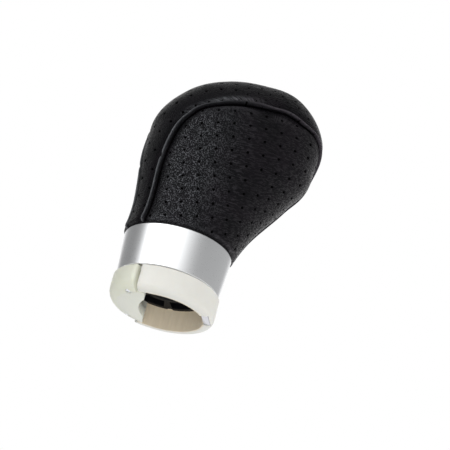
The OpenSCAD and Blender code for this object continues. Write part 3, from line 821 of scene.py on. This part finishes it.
# %% [markdown]
# ## Who rides on what
# The head and everything fixed to it is one body, and the lock that turns under it is the other.
# Each new piece is attached to the body it rides on, and the CAD node it stands for is hidden.
# Its row also names the slot it takes its finish from, which the code does not use.

# %% Tie the pieces to the frame
for piece, body, node, slot in (
        (left_skin, "head", "left_side_panel", "leather"),
        (right_skin, "head", "right_side_panel", "leather"),
        (band, "head", "centre_band", "band_leather"),
        (collar, "head", "collar", "satin_metal"),
        (lock_ring, "lock", "lock_ring", "white_nylon"),
        (lock_key, "lock", "lock_key", "key_nylon"),
        (dowels, "lock", "key_dowels", "spring_steel"),
        (spring, "lock", "detent_spring", "spring_steel")):
    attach(piece, body)
    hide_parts(node)


# %% [markdown]
# ## The studio
# The knob stands on a pale floor. The photograph looks up at it from below, so the floor is made
# one-sided: it shows from above, with the knob's shadow, and a view from below passes through it.
# The background is white for the camera and for reflections, and plainer for soft light. Leather
# and satin metal show what stands round them, so a dome that only reflections see takes the part
# of a photographer's tent: pale walls, a bright window at the left front and a backdrop.

# %% Floor, world and lamps
def make_floor(size_m, height_m):
    """A pale square that only the camera sees, and only from above. It fades into the white
    background between 0.2 and 0.45 m from the knob."""
    mesh = bpy.data.meshes.new("floor")
    s = size_m / 2
    mesh.from_pydata([(-s, -s, height_m), (s, -s, height_m), (s, s, height_m), (-s, s, height_m)],
                     [], [(0, 1, 2, 3)])
    floor = placed("floor", mesh)
    m = Finish("floor_paper", (0.86, 0.86, 0.86), 0.9)
    clear = m.node("ShaderNodeBsdfTransparent")
    side = m.node("ShaderNodeNewGeometry")
    reach = m.vector("LENGTH", m.coordinates(), result="Value")
    faded = m.remap(reach, 0.2, 0.45, eased=True)
    either = m.node("ShaderNodeMixShader")
    m.link(m.math("MAXIMUM", side.outputs["Backfacing"], faded), either.inputs[0])
    m.link(m.shader.outputs[0], either.inputs[1])
    m.link(clear.outputs[0], either.inputs[2])
    m.link(either.outputs[0], m.tree.nodes["Material Output"].inputs["Surface"])
    m.put_on(floor)
    floor.visible_diffuse = False
    floor.visible_glossy = False
    floor.visible_transmission = False
    floor.visible_shadow = False


def make_world(diffuse_strength):
    """White for camera, glossy and transmission rays, and diffuse_strength for the rest."""
    world = bpy.data.worlds.new("studio")
    bpy.context.scene.world = world
    world.use_nodes = True
    tree = world.node_tree
    background = tree.nodes["Background"]
    background.inputs["Color"].default_value = (1, 1, 1, 1)
    ray = tree.nodes.new("ShaderNodeLightPath")
    seen = ray.outputs["Is Camera Ray"]
    for kind in ("Is Glossy Ray", "Is Transmission Ray"):
        either = tree.nodes.new("ShaderNodeMath")
        either.operation = "MAXIMUM"
        tree.links.new(seen, either.inputs[0])
        tree.links.new(ray.outputs[kind], either.inputs[1])
        seen = either.outputs[0]
    strength = tree.nodes.new("ShaderNodeMapRange")
    strength.inputs["To Min"].default_value = diffuse_strength
    strength.inputs["To Max"].default_value = 1.0
    tree.links.new(seen, strength.inputs["Value"])
    tree.links.new(strength.outputs["Result"], background.inputs["Strength"])


def direction(azimuth, elevation):
    """Unit vector from the knob towards that azimuth (0 is -Y, 90 is +X) and elevation."""
    a, e = math.radians(azimuth), math.radians(elevation)
    return Vector((math.sin(a) * math.cos(e), -math.cos(a) * math.cos(e), math.sin(e)))


middle = Vector((0.008, 0, 0.045))


def softbox(name, azimuth, elevation, distance, width, height, brightness):
    """A rectangular lamp facing the knob. An area lamp of P watts over an area A shows as P / 4A."""
    lamp = bpy.data.lights.new(name, "AREA")
    lamp.shape = "RECTANGLE"
    lamp.size, lamp.size_y = width, height
    lamp.energy = brightness * 4 * width * height
    obj = placed(name, lamp)
    towards = direction(azimuth, elevation)
    obj.location = middle + towards * distance
    obj.rotation_mode = "QUATERNION"
    obj.rotation_quaternion = towards.to_track_quat("Z", "Y")
    return obj


def light_tent(radius_m):
    """A dome round the knob that only reflections see. Its brightness is worked out from the
    direction: 0.27 to 0.54 on the walls from the left back to the right, a little less overhead,
    about 1.1 towards the ground, 0.85 more on the backdrop behind the knob, and a window at the
    left front that is about 3 bright and fades out to the right."""
    bm = bmesh.new()
    bmesh.ops.create_icosphere(bm, subdivisions=4, radius=radius_m,
                               matrix=Matrix.Translation(middle))
    mesh = bpy.data.meshes.new("light_tent")
    bm.to_mesh(mesh)
    bm.free()
    tent = placed("light_tent", mesh)
    m = Finish("tent_cloth", (0, 0, 0), 1.0)
    away = m.vector("SUBTRACT", m.coordinates(), middle)
    x, y, z = m.parts(away)
    azimuth = m.math("DEGREES", m.math("ARCTAN2", x, m.math("MULTIPLY", y, -1.0)))
    height = m.math("DIVIDE", z, radius_m)
    left_edge = m.remap(azimuth, -116, -84, eased=True)
    right_edge = m.remap(azimuth, -74, 24, 1, 0, eased=True)
    top_edge = m.remap(height, 0.50, 0.72, 1, 0, eased=True)
    low_edge = m.remap(height, -0.12, 0.02, eased=True)
    window = m.math("MULTIPLY", m.math("MULTIPLY", left_edge, right_edge),
                    m.math("MULTIPLY", top_edge, low_edge))
    sides = m.remap(azimuth, 20, 110, 0.42, 0.54)
    back = m.remap(azimuth, -165, -140, -0.03, -0.15)
    back = m.math("MULTIPLY", back, m.remap(azimuth, -110, 0, 1, 0))
    level = m.math("ADD", sides, back)
    below = m.remap(height, -0.25, 0.0, 0.7, 0.0)
    walls = m.math("ADD", level, below)
    overhead = m.remap(height, 0.5, 0.9, 0.0, 0.12)
    facing = m.vector("DOT_PRODUCT", away, direction(153.5, 25), result="Value")
    backdrop = m.remap(facing, 0.80 * radius_m, 0.98 * radius_m, eased=True)
    walls = m.math("MULTIPLY_ADD", backdrop, 0.85, walls)
    glow = m.node("ShaderNodeEmission")
    m.link(m.math("MULTIPLY_ADD", window, 2.7, m.math("SUBTRACT", walls, overhead)),
           glow.inputs["Strength"])
    m.link(glow.outputs[0], m.tree.nodes["Material Output"].inputs["Surface"])
    m.put_on(tent)
    tent.visible_camera = False
    tent.visible_diffuse = False
    tent.visible_shadow = False
    tent.visible_transmission = False


make_floor(1.0, -0.0002)
make_world(0.50)
for lamp in (softbox("key_box", -62, 25, 0.8, 0.8, 0.8, 0.98),
             softbox("low_box", -20, -55, 0.8, 0.8, 0.8, 1.05),
             softbox("side_box", 75, 0, 0.8, 0.7, 0.7, 1.25),
             softbox("top_box", 30, 65, 0.9, 0.7, 0.7, 1.0)):
    lamp.visible_glossy = False
light_tent(1.6)


# %% [markdown]
# ## The camera
# The photograph was taken with a long lens from below and slightly to the left, with the knob
# tilted in the picture. The camera looks at a point a little beside the knob's middle, so that the
# knob lands where it is in the photograph without any lens shift.

# %% Camera
def make_camera(azimuth, elevation, roll, distance, focal_px, target, target_px, frame_px=450):
    """A camera at that distance from target, rolled about its axis and then turned a little, so
    that target shows at target_px. focal_px is the focal length in pixels of the frame."""
    back = direction(azimuth, elevation)
    right = (-back).cross(Vector((0, 0, 1))).normalized()
    up = right.cross(-back)
    c, s = math.cos(math.radians(roll)), math.sin(math.radians(roll))
    right, up = c * right + s * up, c * up - s * right
    aim_x = (target_px[0] - frame_px / 2) / focal_px
    aim_y = (frame_px / 2 - target_px[1]) / focal_px
    back = (back + aim_x * right + aim_y * up).normalized()
    right = (right - right.dot(back) * back).normalized()
    up = back.cross(right)
    data = bpy.data.cameras.new("camera")
    data.sensor_width = 36
    data.lens = focal_px / frame_px * data.sensor_width
    data.clip_start, data.clip_end = 0.01, 20
    camera = placed("camera", data)
    turn = Matrix((right, up, back)).transposed().to_4x4()
    turn.translation = target + distance * direction(azimuth, elevation)
    camera.matrix_world = turn
    bpy.context.scene.camera = camera


make_camera(azimuth=-26.49, elevation=-25.14, roll=15.89, distance=0.5795, focal_px=1696.1,
            target=Vector((0, 0, 0.0445)), target_px=(193.0, 195.4))
bpy.context.scene.view_settings.view_transform = "Standard"
print("camera at", [round(v, 3) for v in bpy.context.scene.camera.matrix_world.translation])
